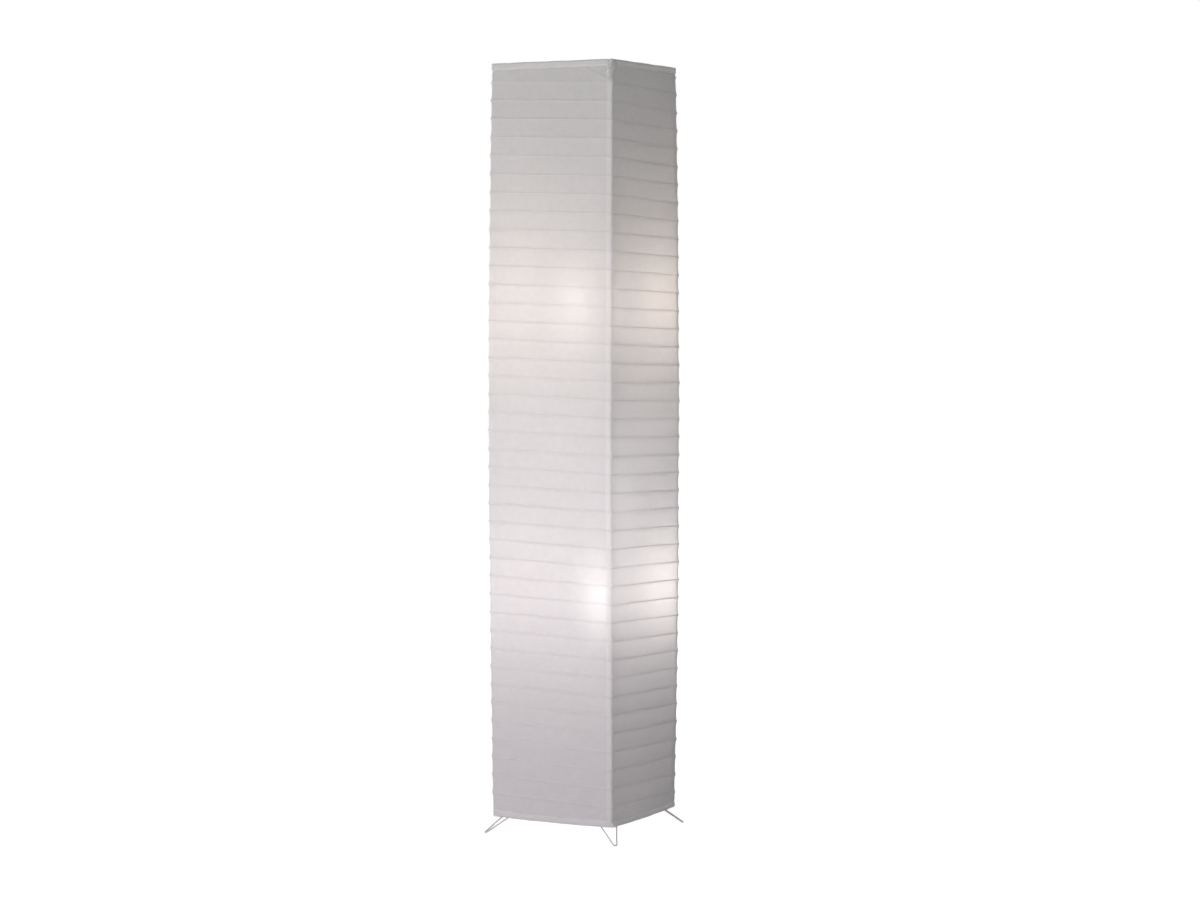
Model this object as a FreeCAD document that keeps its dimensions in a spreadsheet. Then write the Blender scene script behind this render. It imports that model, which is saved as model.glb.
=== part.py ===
import FreeCAD, Part
import math
import os
import Sketcher
from FreeCAD import Placement, Rotation, Vector

doc = FreeCAD.newDocument("paper_lantern_floor_lamp")
os.makedirs("parts", exist_ok=True)

# Driving sizes in millimetres (degrees for the turn), one row each.
sheet = doc.addObject("Spreadsheet::Sheet", "Sizes")
driving = (
    ("shade_height", 1135, "paper shade from its lower to its upper edge"),
    ("shade_width", 207, "outside of the folded hems"),
    ("foot_height", 25, "floor to the lower edge of the shade"),
    ("swell", 5, "how far a panel bellies out halfway up"),
    ("hollow", 0.8, "how far the paper dries in between two ribs"),
    ("paper", 0.4, "rice paper with its glue"),
    ("paper_gap", 0.3, "hem strip to panel at the edge"),
    ("lap_step", 0.5, "how far a panel dives under its neighbour"),
    ("lap", 5, "straight part of the glued lap past the corner"),
    ("corner", 8, "outside corner radius of the hems"),
    ("hem_depth", 10, "outer leg of the hem strip"),
    ("hem_return", 6, "inner leg of the hem strip"),
    ("hem_wire", 3, "wire in the hems and of the upper spokes"),
    ("rib", 1.2, "flat side of the rib wire"),
    ("rib_pitch", 27.42, "drop of the rib wire in one turn"),
    ("rib_start", 7.4, "upper edge of the shade to the start of the rib wire"),
    ("rib_slack", 0.3, "rib wire to paper"),
    ("base_wire", 4, "lower square and lower spokes"),
    ("base_clearance", 1.2, "lower square to the hem that drops round it"),
    ("base_rise", 3, "lower edge of the shade to the underside of the square"),
    ("leg_wire", 2.4, "V legs"),
    ("leg_bend", 3, "centreline radius at the tip of a leg"),
    ("leg_overhang", 7.9, "tip of a leg past the hem, along each side"),
    ("leg_span", 18.5, "corner of the lower square to the end of a leg"),
    ("weld", 0.1, "root gap of the welds"),
    ("hub_outer", 26, "lower hub"),
    ("hub_height", 22, "lower hub"),
    ("hub_seat", 10, "depth of the hub's web below the pole"),
    ("pole_outer", 12, "pole tube"),
    ("pole_wall", 1, "pole tube"),
    ("slip", 0.1, "radial clearance of plugged and slipped fits"),
    ("joint_collar", 2, "visible collar between two lengths of pole"),
    ("joint_plug", 14, "length of a joint inside each tube"),
    ("cap_flange", 4, "flange of the pole cap"),
    ("cap_pin", 10, "pin of the pole cap above its flange"),
    ("seat", 0.3, "rest gap between the pole cap and the shade's hub"),
    ("top_hub_height", 13, "hub of the shade's wire cross"),
    ("top_hub_outer", 22, "hub of the shade's wire cross"),
    ("lower_bulb_at", 369, "centre of the lower bulb above the floor"),
    ("upper_bulb_at", 800, "centre of the upper bulb above the floor"),
    ("lower_turn", 90, "direction of the lower arm, from +X"),
    ("upper_turn", 110, "direction of the upper arm, from +X"),
    ("arm_reach", 47, "pole axis to bulb axis"),
    ("arm_plate", 2, "thickness of the arm"),
    ("arm_collar", 14, "height of the arm's collar"),
    ("nipple_outer", 10, "M10 tube nipple"),
    ("nipple_bore", 7.2, "M10 tube nipple"),
    ("nut_flats", 14, "nut on the nipple"),
    ("nut_height", 3.5, "nut on the nipple"),
    ("holder_outer", 40, "lamp holder"),
    ("holder_wall", 2, "lamp holder"),
    ("cap_height", 20, "lower half of the lamp holder"),
    ("skirt_height", 38, "upper half of the lamp holder"),
    ("insert_height", 6, "contact block in the holder"),
    ("screw_outer", 26.2, "E27 screw cap of the bulb"),
    ("screw_length", 24, "E27 screw cap of the bulb"),
    ("shell_wall", 0.5, "threaded shell of the holder"),
    ("bulb_outer", 60, "widest part of the bulb"),
    ("glass", 0.8, "wall of the bulb"),
    ("neck_outer", 24.8, "glass inside the screw cap"),
    ("lead_outer", 5, "inner leads"),
    ("lead_bend", 14, "centreline bend radius of the leads"),
    ("lead_drop", 24, "arm's top face down to where a lead crosses to the holder"),
    ("lead_end", 15, "arm's top face up to where a lead ends in its holder"),
    ("gland_flange", 17, "plastic inlet under the hub"),
)
for row, (name, value, meaning) in enumerate(driving, start=1):
    sheet.set(f"A{row}", name)
    sheet.set(f"B{row}", str(value))
    sheet.set(f"C{row}", meaning)
    sheet.setAlias(f"B{row}", name)

# Sizes that follow from the driving ones.
derived = (
    ("half", "shade_width / 2"),
    ("shade_top", "foot_height + shade_height"),
    ("panel_half", "half - paper - paper_gap"),
    ("panel_corner", "corner - paper - paper_gap"),
    ("wire_half", "panel_half - lap_step - paper - hem_wire / 2 - 0.1"),
    ("wire_corner", "corner - (half - wire_half)"),
    ("return_half", "wire_half - hem_wire / 2 - 0.1"),
    ("return_corner", "corner - (half - return_half)"),
    ("top_wire_at", "shade_top - paper - hem_wire / 2 - 0.1"),
    ("bottom_wire_at", "foot_height + paper + hem_wire / 2 + 0.1"),
    ("base_half", "return_half - paper - base_clearance - base_wire / 2"),
    ("base_at", "foot_height + base_rise + base_wire / 2"),
    ("leg_tip", "half + leg_overhang"),
    ("leg_end", "base_half - leg_span"),
    ("leg_end_at", "base_at - base_wire / 2 - leg_wire / 2 - weld"),
    ("hub_foot", "base_at - hub_height / 2 + 3"),
    ("pole_foot", "hub_foot + hub_seat"),
    ("top_hub_foot", "shade_top - top_hub_height"),
    ("pole_head", "top_hub_foot - seat - cap_flange"),
    ("tube", "(pole_head - pole_foot - 2 * joint_collar) / 3"),
    ("middle_foot", "pole_foot + tube + joint_collar"),
    ("upper_foot", "middle_foot + tube + joint_collar"),
    ("holder_inner", "holder_outer - 2 * holder_wall"),
    ("insert_at", "cap_height"),
    ("contact_at", "insert_at + insert_height"),
    ("bulb_foot", "contact_at + 4"),
    ("screw_foot", "bulb_foot + 3"),
    ("shell_inner", "screw_outer + 0.6"),
    ("neck_foot", "screw_foot + screw_length - 5"),
    ("neck_top", "screw_foot + screw_length + 3"),
    ("globe_at", "bulb_foot + 75"),
    ("flare", "((globe_at - neck_top)^2 + neck_outer^2 / 4 - bulb_outer^2 / 4)"
              " / (bulb_outer - neck_outer)"),
    ("join_part", "bulb_outer / 2 / (flare + bulb_outer / 2)"),
    ("join_out", "(neck_outer / 2 + flare) * join_part"),
    ("join_at", "globe_at - (globe_at - neck_top) * join_part"),
    ("inner_part", "(bulb_outer / 2 - glass) / (flare + bulb_outer / 2)"),
    ("inner_out", "(neck_outer / 2 + flare) * inner_part"),
    ("inner_at", "globe_at - (globe_at - neck_top) * inner_part"),
    ("lower_arm_at", "lower_bulb_at - globe_at"),
    ("upper_arm_at", "upper_bulb_at - globe_at"),
)
first = len(driving) + 2
for row, (name, formula) in enumerate(derived, start=first):
    sheet.set(f"A{row}", name)
    sheet.set(f"B{row}", "=" + formula)
    sheet.setAlias(f"B{row}", name)
doc.recompute()


def size(name):
    """A value of the sheet in millimetres or degrees."""
    return float(sheet.get(name))


def bound(text):
    """The same formula, with every size name pointed at the sheet."""
    words = sorted((row[0] for row in driving + derived), key=len, reverse=True)
    made = ""
    place = 0
    while place < len(text):
        if not (text[place].isalpha() or text[place] == "_"):
            made += text[place]
            place += 1
            continue
        stop = place
        while stop < len(text) and (text[stop].isalnum() or text[stop] == "_"):
            stop += 1
        word = text[place:stop]
        made += "Sizes." + word if word in words else word
        place = stop
    return made


def worked(text):
    """The number a formula gives now."""
    answer = sheet.evalExpression(bound(text))
    return float(getattr(answer, "Value", answer))


pieces = {}


def new_body(label, at=("0", "0", "0"), turn=None, node=None):
    """An empty body whose place follows the sheet. Like fasteners share a node."""
    made = doc.addObject("PartDesign::Body", label)
    made.Label = label
    for axis, text in zip("xyz", at):
        if text != "0":
            made.setExpression(f"Placement.Base.{axis}", bound(text))
    if turn is not None:
        made.Placement.Rotation = Rotation(Vector(0, 0, 1), 1)
        made.setExpression("Placement.Rotation.Angle", bound(turn))
    pieces.setdefault(node or label, []).append(made)
    return made


def new_sketch(owner, plane, lift="0"):
    """A sketch on one of the body's own planes, lifted off it by a formula."""
    drawn = owner.newObject("Sketcher::SketchObject", owner.Label + "_sketch")
    origin_plane = next(f for f in owner.Origin.OriginFeatures if f.Role == plane)
    drawn.AttachmentSupport = [(origin_plane, "")]
    drawn.MapMode = "FlatFace"
    if lift != "0":
        drawn.setExpression("AttachmentOffset.Base.z", bound(lift))
    return drawn


def pin_point(drawn, item, end, x_text, y_text):
    """Hold one end of a line or arc at two formulas."""
    for kind, text, axis in (("DistanceX", x_text, -2), ("DistanceY", y_text, -1)):
        if text == "0":
            drawn.addConstraint(Sketcher.Constraint("PointOnObject", item, end, axis))
            continue
        number = drawn.addConstraint(Sketcher.Constraint(kind, item, end, worked(text)))
        drawn.setExpression(f"Constraints[{number}]", bound(text))


def outline(drawn, corners):
    """A closed loop of lines and arcs. An arc's corner also names its centre and radius."""
    loop = []
    for index, corner in enumerate(corners):
        here = Vector(worked(corner[0]), worked(corner[1]), 0)
        after = corners[(index + 1) % len(corners)]
        there = Vector(worked(after[0]), worked(after[1]), 0)
        if len(corner) == 2:
            item = drawn.addGeometry(Part.LineSegment(here, there), False)
            loop.append((item, 1, 2))
            continue
        centre = Vector(worked(corner[2]), worked(corner[3]), 0)
        begin = math.atan2(here.y - centre.y, here.x - centre.x)
        finish = math.atan2(there.y - centre.y, there.x - centre.x)
        sweep = (finish - begin) % (2 * math.pi)
        ring = Part.Circle(centre, Vector(0, 0, 1), worked(corner[4]))
        if sweep < math.pi + 1e-9:
            item = drawn.addGeometry(Part.ArcOfCircle(ring, begin, begin + sweep), False)
            loop.append((item, 1, 2))
        else:
            back = 2 * math.pi - sweep
            item = drawn.addGeometry(Part.ArcOfCircle(ring, finish, finish + back), False)
            loop.append((item, 2, 1))
    for index, corner in enumerate(corners):
        item, near, far = loop[index]
        before = loop[index - 1]
        drawn.addConstraint(Sketcher.Constraint("Coincident", before[0], before[2], item, near))
        pin_point(drawn, item, near, corner[0], corner[1])
        if len(corner) > 2:
            radius = Sketcher.Constraint("Radius", item, worked(corner[4]))
            number = drawn.addConstraint(radius)
            drawn.setExpression(f"Constraints[{number}]", bound(corner[4]))


def round_hole(drawn, radius, x_text="0", y_text="0"):
    """A full circle held at two formulas."""
    centre = Vector(worked(x_text), worked(y_text), 0)
    ring = Part.Circle(centre, Vector(0, 0, 1), worked(radius))
    item = drawn.addGeometry(ring, False)
    number = drawn.addConstraint(Sketcher.Constraint("Radius", item, worked(radius)))
    drawn.setExpression(f"Constraints[{number}]", bound(radius))
    pin_point(drawn, item, 3, x_text, y_text)


def rounded_square(drawn, half, radius):
    """A square of four lines and four corner arcs about the origin."""
    run = f"({half} - {radius})"
    corners = []
    for sx, sy in (("", "-"), ("", ""), ("-", ""), ("-", "-")):
        centre = (f"{sx}{run}", f"{sy}{run}")
        side_end = (f"{sx}({half})", f"{sy}{run}")
        cross_end = (f"{sx}{run}", f"{sy}({half})")
        pair = (cross_end, side_end) if sx != sy else (side_end, cross_end)
        corners.append((*pair[0], *centre, radius))
        corners.append(pair[1])
    outline(drawn, corners)


def pad(owner, drawn, length, both_ways=False):
    """A straight pad of a sketch, by a formula."""
    made = owner.newObject("PartDesign::Pad", owner.Label + "_pad")
    made.Profile = drawn
    made.setExpression("Length", bound(length))
    made.Midplane = both_ways
    drawn.Visibility = False
    return made


def pocket(owner, drawn, length, reverse=False):
    """A straight cut of a sketch, by a formula."""
    made = owner.newObject("PartDesign::Pocket", owner.Label + "_cut")
    made.Profile = drawn
    made.setExpression("Length", bound(length))
    made.Reversed = reverse
    return made


def turned(label, corners, at=("0", "0", "0"), turn=None):
    """A body turned about its own upright axis from a half section."""
    owner = new_body(label, at, turn)
    drawn = new_sketch(owner, "XZ_Plane")
    outline(drawn, corners)
    spun = owner.newObject("PartDesign::Revolution", label + "_turned")
    spun.Profile = drawn
    spun.ReferenceAxis = (drawn, ["V_Axis"])
    spun.Angle = 360
    return owner


def tube_section(inner, outer, low, high):
    """Half section of a plain ring."""
    return [(inner, low), (outer, low), (outer, high), (inner, high)]


def wire_square(label, half, radius, thickness, lift):
    """A closed square of round wire with bent corners."""
    owner = new_body(label, ("0", "0", lift))
    spine = new_sketch(owner, "XY_Plane")
    rounded_square(spine, half, radius)
    section = new_sketch(owner, "XZ_Plane")
    round_hole(section, f"({thickness}) / 2", f"{half}", "0")
    swept = owner.newObject("PartDesign::AdditivePipe", label + "_pipe")
    swept.Profile = section
    swept.Spine = spine
    return owner


def spoke(label, turn, thickness, start, stop, lift):
    """One straight wire from the hub out to the square."""
    owner = new_body(label, ("0", "0", lift), turn)
    drawn = new_sketch(owner, "YZ_Plane", start)
    round_hole(drawn, f"({thickness}) / 2")
    pad(owner, drawn, f"({stop}) - ({start})")
    return owner


def route(points, bend):
    """Straight runs through the points, joined by tangent arcs of one radius."""
    edges = []
    last = points[0]
    for before, here, after in zip(points, points[1:], points[2:]):
        back = (before - here).normalize()
        ahead = (after - here).normalize()
        half_angle = back.getAngle(ahead) / 2
        start = here + back * (bend / math.tan(half_angle))
        finish = here + ahead * (bend / math.tan(half_angle))
        inward = (back + ahead).normalize()
        middle = here + inward * (bend / math.sin(half_angle) - bend)
        if (start - last).Length > 1e-6:
            edges.append(Part.LineSegment(last, start).toShape())
        edges.append(Part.Arc(start, middle, finish).toShape())
        last = finish
    edges.append(Part.LineSegment(last, points[-1]).toShape())
    return Part.Wire(edges)


def swept_shape(path, section):
    """A solid carried along a wire without twist."""
    carrier = Part.BRepOffsetAPI.MakePipeShell(path)
    carrier.setFrenetMode(True)
    carrier.add(section)
    carrier.build()
    carrier.makeSolid()
    return carrier.shape()


def add_shape(label, shape):
    """A piece with a shape of its own."""
    made = doc.addObject("Part::Feature", label)
    made.Label = label
    made.Shape = shape
    made.Placement = Placement()
    pieces[label] = [made]
    return made


# Base: a welded square of round wire on four thin V legs, tied to the hub by four spokes.
wire_square("base_square", "base_half", "5", "base_wire", "base_at")
sides = (("right", "0"), ("back", "90"), ("left", "180"), ("front", "270"))
for side, turn in sides:
    spoke("base_spoke_" + side, turn, "base_wire", "hub_outer / 2",
          "base_half - base_wire / 2 - weld", "base_at")

# The hub: a seat for the pole above its web, a threaded inlet below it.
hub = turned("base_hub", [
    ("2.9", "hub_seat - 2"), ("nipple_outer / 2 + slip", "hub_seat - 2"),
    ("nipple_outer / 2 + slip", "0"), ("hub_outer / 2 - 1", "0"), ("hub_outer / 2", "1"),
    ("hub_outer / 2", "hub_height - 1"), ("hub_outer / 2 - 1", "hub_height"),
    ("pole_outer / 2 + slip", "hub_height"), ("pole_outer / 2 + slip", "hub_seat"),
    ("2.9", "hub_seat"),
], ("0", "0", "hub_foot"))
hole = new_sketch(hub, "XZ_Plane")
round_hole(hole, "2.05", "0", "hub_height - 4")
pocket(hub, hole, "hub_outer", reverse=True)

# The cord's inlet is a plastic gland screwed up into the hub.
turned("cord_gland", [
    ("2.9", "-4"), ("gland_flange / 2 - 2.5", "-4"), ("gland_flange / 2", "-2.5"),
    ("gland_flange / 2", "0"), ("nipple_outer / 2", "0"), ("nipple_outer / 2", "hub_seat - 2.2"),
    ("2.9", "hub_seat - 2.2"),
], ("0", "0", "hub_foot"))

# Each leg is one wire bent to a V whose sharp bend touches the floor outside the corner.
for name, sx, sy in (("front_left", -1, -1), ("front_right", 1, -1),
                     ("back_right", 1, 1), ("back_left", -1, 1)):
    owner = new_body("leg_" + name)
    along = Vector(-sy, sx, 0).normalize()
    tip = Vector(sx * size("leg_tip"), sy * size("leg_tip"), size("leg_wire") / 2)
    between = (size("leg_end") + size("base_half")) / 2
    ends = Vector(sx * between, sy * between, size("leg_end_at"))
    rise = (ends - tip).Length
    inward = (ends - tip).normalize()
    spread = size("leg_span") / math.sqrt(2)
    bend = size("leg_bend")
    # Half the angle of the V, from the bend's radius and the two ends.
    opening = math.acos(bend / math.hypot(spread, rise - bend)) - math.atan2(rise - bend, spread)
    corner_reach = bend / math.sin(opening) - bend
    owner.Placement = Placement(tip - inward * corner_reach,
                                Rotation(along, inward, along.cross(inward), "XYZ"))
    touch = bend / math.tan(opening)
    touch_right = Vector(touch * math.sin(opening), touch * math.cos(opening), 0)
    touch_left = Vector(-touch_right.x, touch_right.y, 0)
    end_right = Vector(spread, rise + corner_reach, 0)
    end_left = Vector(-spread, rise + corner_reach, 0)
    spine = new_sketch(owner, "XY_Plane")
    spine.addGeometry(Part.LineSegment(end_left, touch_left), False)
    spine.addGeometry(Part.Arc(touch_left, Vector(0, corner_reach, 0), touch_right), False)
    spine.addGeometry(Part.LineSegment(touch_right, end_right), False)
    spine.addConstraint(Sketcher.Constraint("Coincident", 0, 2, 1, 1))
    spine.addConstraint(Sketcher.Constraint("Coincident", 1, 2, 2, 1))
    doc.recompute()
    section = owner.newObject("Sketcher::SketchObject", "leg_section")
    section.AttachmentSupport = [(spine, "Edge1")]
    section.MapMode = "NormalToEdge"
    round_hole(section, "leg_wire / 2")
    swept = owner.newObject("PartDesign::AdditivePipe", "leg_pipe")
    swept.Profile = section
    swept.Spine = spine

# Pole: three tubes on plugged joints. The lowest has a slot where the lead comes out.
pole_section = tube_section("pole_outer / 2 - pole_wall", "pole_outer / 2", "0", "tube")
pole_lower = turned("pole_lower", pole_section, ("0", "0", "pole_foot"))
turned("pole_middle", pole_section, ("0", "0", "middle_foot"))
turned("pole_upper", pole_section, ("0", "0", "upper_foot"))
turning_at = "lower_arm_at - lead_drop - pole_foot"
slot = new_sketch(pole_lower, "XZ_Plane")
slot_low = f"{turning_at} - lead_bend"
slot_high = f"{turning_at} + lead_outer / 2 - 2"
outline(slot, [
    ("-3", slot_low), ("3", slot_low),
    ("3", slot_high), ("1.5", f"{slot_high} + 1.5"),
    ("-1.5", f"{slot_high} + 1.5"), ("-3", slot_high),
])
pocket(pole_lower, slot, "pole_outer")
for name, foot in (("pole_joint_lower", "middle_foot"), ("pole_joint_upper", "upper_foot")):
    plug = "pole_outer / 2 - pole_wall - slip"
    turned(name, [
        ("3", "-joint_collar - joint_plug"), (plug, "-joint_collar - joint_plug"),
        (plug, "-joint_collar"), ("pole_outer / 2", "-joint_collar"), ("pole_outer / 2", "0"),
        (plug, "0"), (plug, "joint_plug"), ("3", "joint_plug"),
    ], ("0", "0", foot))
turned("pole_cap", [
    ("0", "-joint_plug"), ("pole_outer / 2 - pole_wall - slip", "-joint_plug"),
    ("pole_outer / 2 - pole_wall - slip", "0"), ("top_hub_outer / 2 - 2", "0"),
    ("top_hub_outer / 2 - 1", "1"), ("top_hub_outer / 2 - 1", "cap_flange"),
    ("3.5", "cap_flange"), ("3.5", "cap_flange + cap_pin - 2"), ("2", "cap_flange + cap_pin"),
    ("0", "cap_flange + cap_pin"),
], ("0", "0", "pole_head"))


# Lamps: an arm slipped on the pole, a tube nipple, a holder in two shells and a bulb.
for level in ("lower", "upper"):
    arm_at = f"{level}_arm_at"
    turn = f"{level}_turn"
    axis = (f"arm_reach * cos({turn})", f"arm_reach * sin({turn})", arm_at)
    facing = f"{turn} - 90"

    arm = new_body(f"arm_{level}", ("0", "0", arm_at), turn)
    plan = new_sketch(arm, "XY_Plane", "-arm_plate")
    outline(plan, [
        ("0", "-9", "0", "0", "9"), ("-9", "0", "0", "0", "9"), ("0", "9"),
        ("arm_reach", "9", "arm_reach", "0", "9"),
        ("arm_reach + 9", "0", "arm_reach", "0", "9"), ("arm_reach", "-9"),
    ])
    round_hole(plan, "pole_outer / 2 + slip")
    round_hole(plan, "nipple_outer / 2 + slip", "arm_reach")
    pad(arm, plan, "arm_plate")
    collar = new_sketch(arm, "XY_Plane", "-arm_collar")
    round_hole(collar, "9")
    round_hole(collar, "pole_outer / 2 + slip")
    pad(arm, collar, "arm_collar")
    thread = new_sketch(arm, "YZ_Plane")
    round_hole(thread, "2.05", "0", "-arm_collar / 2 - 1")
    pocket(arm, thread, "hub_outer")

    turned(f"nipple_{level}", tube_section("nipple_bore / 2", "nipple_outer / 2", "-8", "8"),
           axis)
    nut = new_body(f"nut_{level}", axis, turn, "nipple_nuts")
    flats = new_sketch(nut, "XY_Plane", "-arm_plate - nut_height")
    across = "nut_flats / 2 / cos(30)"
    outline(flats, [(f"{across} * cos({angle})", f"{across} * sin({angle})")
                    for angle in (15, 75, 135, 195, 255, 315)])
    round_hole(flats, "nipple_outer / 2 + 0.05")
    pad(nut, flats, "nut_height")

    cup = turned(f"holder_cap_{level}", [
        ("nipple_outer / 2 + 0.05", "0"), ("13", "0"), ("holder_outer / 2", "8"),
        ("holder_outer / 2", "cap_height"), ("holder_inner / 2", "cap_height"),
        ("holder_inner / 2", "cap_height - 3"), ("holder_inner / 2 - 1.5", "cap_height - 3"),
        ("holder_inner / 2 - 1.5", "9"), ("12", "3"), ("nipple_outer / 2 + 0.05", "3"),
    ], axis, facing)
    if level == "lower":
        way_out = new_sketch(cup, "XZ_Plane")
        round_hole(way_out, "lead_outer / 2 + 0.2", "0", "12")
        pocket(cup, way_out, "holder_outer", reverse=True)
    turned(f"holder_insert_{level}", [
        ("0", "cap_height - 3"), ("holder_inner / 2 - 0.2", "cap_height - 3"),
        ("holder_inner / 2 - 0.2", "contact_at"), ("0", "contact_at"),
    ], axis)
    turned(f"holder_shell_{level}", tube_section(
        "shell_inner / 2", "shell_inner / 2 + shell_wall", "contact_at", "contact_at + 26"), axis)
    turned(f"holder_contact_{level}", [
        ("0", "contact_at"), ("4", "contact_at"), ("4", "contact_at + 1"),
        ("2", "bulb_foot - 0.3"), ("0", "bulb_foot - 0.3"),
    ], axis)
    turned(f"holder_skirt_{level}", [
        ("holder_inner / 2", "cap_height"), ("holder_outer / 2", "cap_height"),
        ("holder_outer / 2", "cap_height + skirt_height - 8"),
        ("holder_outer / 2 - 1.5", "cap_height + skirt_height"),
        ("holder_inner / 2 - 1.5", "cap_height + skirt_height"),
        ("holder_inner / 2", "cap_height + skirt_height - 8"),
    ], axis)

    turned(f"bulb_tip_{level}", [
        ("0", "bulb_foot"), ("3.5", "bulb_foot"), ("4.5", "bulb_foot + 1"),
        ("9.5", "screw_foot - 0.1"), ("0", "screw_foot - 0.1"),
    ], axis)
    turned(f"bulb_cap_{level}", [
        ("0", "screw_foot"), ("10", "screw_foot"), ("screw_outer / 2", "screw_foot + 2"),
        ("screw_outer / 2", "screw_foot + screw_length"),
        ("neck_outer / 2 + 0.2", "screw_foot + screw_length"),
        ("neck_outer / 2 + 0.2", "screw_foot + 2.5"), ("9.6", "screw_foot + 0.5"),
        ("0", "screw_foot + 0.5"),
    ], axis)
    turned(f"bulb_glass_{level}", [
        ("neck_outer / 2", "neck_foot"),
        ("neck_outer / 2", "neck_top", "neck_outer / 2 + flare", "neck_top", "flare"),
        ("join_out", "join_at", "0", "globe_at", "bulb_outer / 2"),
        ("0", "globe_at + bulb_outer / 2"),
        ("0", "globe_at + bulb_outer / 2 - glass", "0", "globe_at", "bulb_outer / 2 - glass"),
        ("inner_out", "inner_at", "neck_outer / 2 + flare", "neck_top", "flare + glass"),
        ("neck_outer / 2 - glass", "neck_top"), ("neck_outer / 2 - glass", "neck_foot"),
    ], axis)

# Grub screws lock the hub and both arms to the pole.
for place, at, turn in (("hub", "hub_foot + hub_height - 4", "270"),
                        ("lower", "lower_arm_at - arm_collar / 2 - 1", "lower_turn + 180"),
                        ("upper", "upper_arm_at - arm_collar / 2 - 1", "upper_turn + 180")):
    screw = new_body("grub_screw_" + place, ("0", "0", at), turn, "grub_screws")
    end = new_sketch(screw, "YZ_Plane", "pole_outer / 2 + 0.02")
    round_hole(end, "2")
    pad(screw, end, "5")
    driver = new_sketch(screw, "YZ_Plane", "pole_outer / 2 + 5.02")
    outline(driver, [("-0.4", "-1.8"), ("0.4", "-1.8"), ("0.4", "1.8"), ("-0.4", "1.8")])
    pocket(screw, driver, "1.2")

# Two clips hold the link lead beside the pole.
beside = "pole_outer / 2 + 1.7 + lead_outer / 2"
for place, share in (("low", "0.45"), ("high", "0.85")):
    clip = new_body("lead_clip_" + place,
                    ("0", "0", f"lower_bulb_at + {share} * (upper_arm_at - lower_bulb_at)"),
                    "lower_turn - 90", "lead_clips")
    plan = new_sketch(clip, "XY_Plane")
    side = "pole_outer / 2 + 1.8"
    outline(plan, [
        (f"-({side}) + 3", f"-({side})"), (f"{side} - 3", f"-({side})"), (side, f"-({side}) + 3"),
        (side, "4"), ("4.2", f"{beside} + 2"), ("2", f"{beside} + 4.2"),
        ("-2", f"{beside} + 4.2"), ("-4.2", f"{beside} + 2"), (f"-({side})", "4"),
        (f"-({side})", f"-({side}) + 3"),
    ])
    round_hole(plan, "pole_outer / 2 + slip")
    round_hole(plan, "lead_outer / 2 + slip", "0", beside)
    pad(clip, plan, "8")


def lead(label, points):
    """A round lead on straight runs and tangent arcs."""
    path = route(points, size("lead_bend"))
    edge = path.Edges[0]
    start = edge.valueAt(edge.FirstParameter)
    heading = edge.tangentAt(edge.FirstParameter)
    ring = Part.Wire(Part.Circle(start, heading, size("lead_outer") / 2).toShape())
    made = add_shape(label, swept_shape(path, ring))
    print(label, "bend radius", size("lead_bend"), "outer radius", size("lead_outer") / 2,
          "length", round(path.Length, 1), "volume", round(made.Shape.Volume, 1))


def around(turn, out, up):
    """A point at a direction, distance and height from the pole's axis."""
    return Vector(out * math.cos(math.radians(turn)), out * math.sin(math.radians(turn)), up)


# The supply lead climbs inside the pole, comes out of its slot and enters the lower nipple.
reach = size("arm_reach")
low_arm = size("lower_arm_at")
high_arm = size("upper_arm_at")
drop = size("lead_drop")
end = size("lead_end")
lower_way = size("lower_turn")
upper_way = size("upper_turn")
lead("supply_lead", [
    Vector(0, 0, size("hub_foot") - 3), Vector(0, 0, low_arm - drop),
    around(lower_way, reach, low_arm - drop), around(lower_way, reach, low_arm + end),
])
# The link lead leaves the lower holder's side, climbs beside the pole and enters the upper one.
beside_pole = worked(beside)
lead("link_lead", [
    around(lower_way, reach - 7, low_arm + 12), around(lower_way, beside_pole, low_arm + 12),
    around(lower_way, beside_pole, high_arm - drop), around(upper_way, reach, high_arm - drop),
    around(upper_way, reach, high_arm + end),
])

# Shade: wires in folded paper hems at both edges.
wire_square("top_wire", "wire_half", "wire_corner", "hem_wire", "top_wire_at")
wire_square("bottom_wire", "wire_half", "wire_corner", "hem_wire", "bottom_wire_at")
turned("top_hub", [
    ("cap_pin * 0.39", "0"), ("top_hub_outer / 2 - 2", "0"), ("top_hub_outer / 2", "2"),
    ("top_hub_outer / 2", "top_hub_height"), ("0", "top_hub_height"),
    ("0", "cap_pin + 0.6"), ("cap_pin * 0.39", "cap_pin + 0.6"),
], ("0", "0", "top_hub_foot"))
for side, turn in sides:
    spoke("top_spoke_" + side, turn, "hem_wire", "top_hub_outer / 2",
          "wire_half - hem_wire / 2 - weld", "top_wire_at")


def hem(label, cover_low, outer_low, return_low):
    """A strip of paper folded over an edge: outer leg, cover and inner leg."""
    owner = new_body(label)
    for low, tall, outer, inner in (
            (outer_low, "hem_depth", "0", "paper"),
            (cover_low, "paper", "0", "half - return_half + paper"),
            (return_low, "hem_return", "half - return_half", "half - return_half + paper")):
        band = new_sketch(owner, "XY_Plane", low)
        rounded_square(band, f"(half - ({outer}))", f"(corner - ({outer}))")
        rounded_square(band, f"(half - ({inner}))", f"(corner - ({inner}))")
        pad(owner, band, tall)
    return owner


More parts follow.
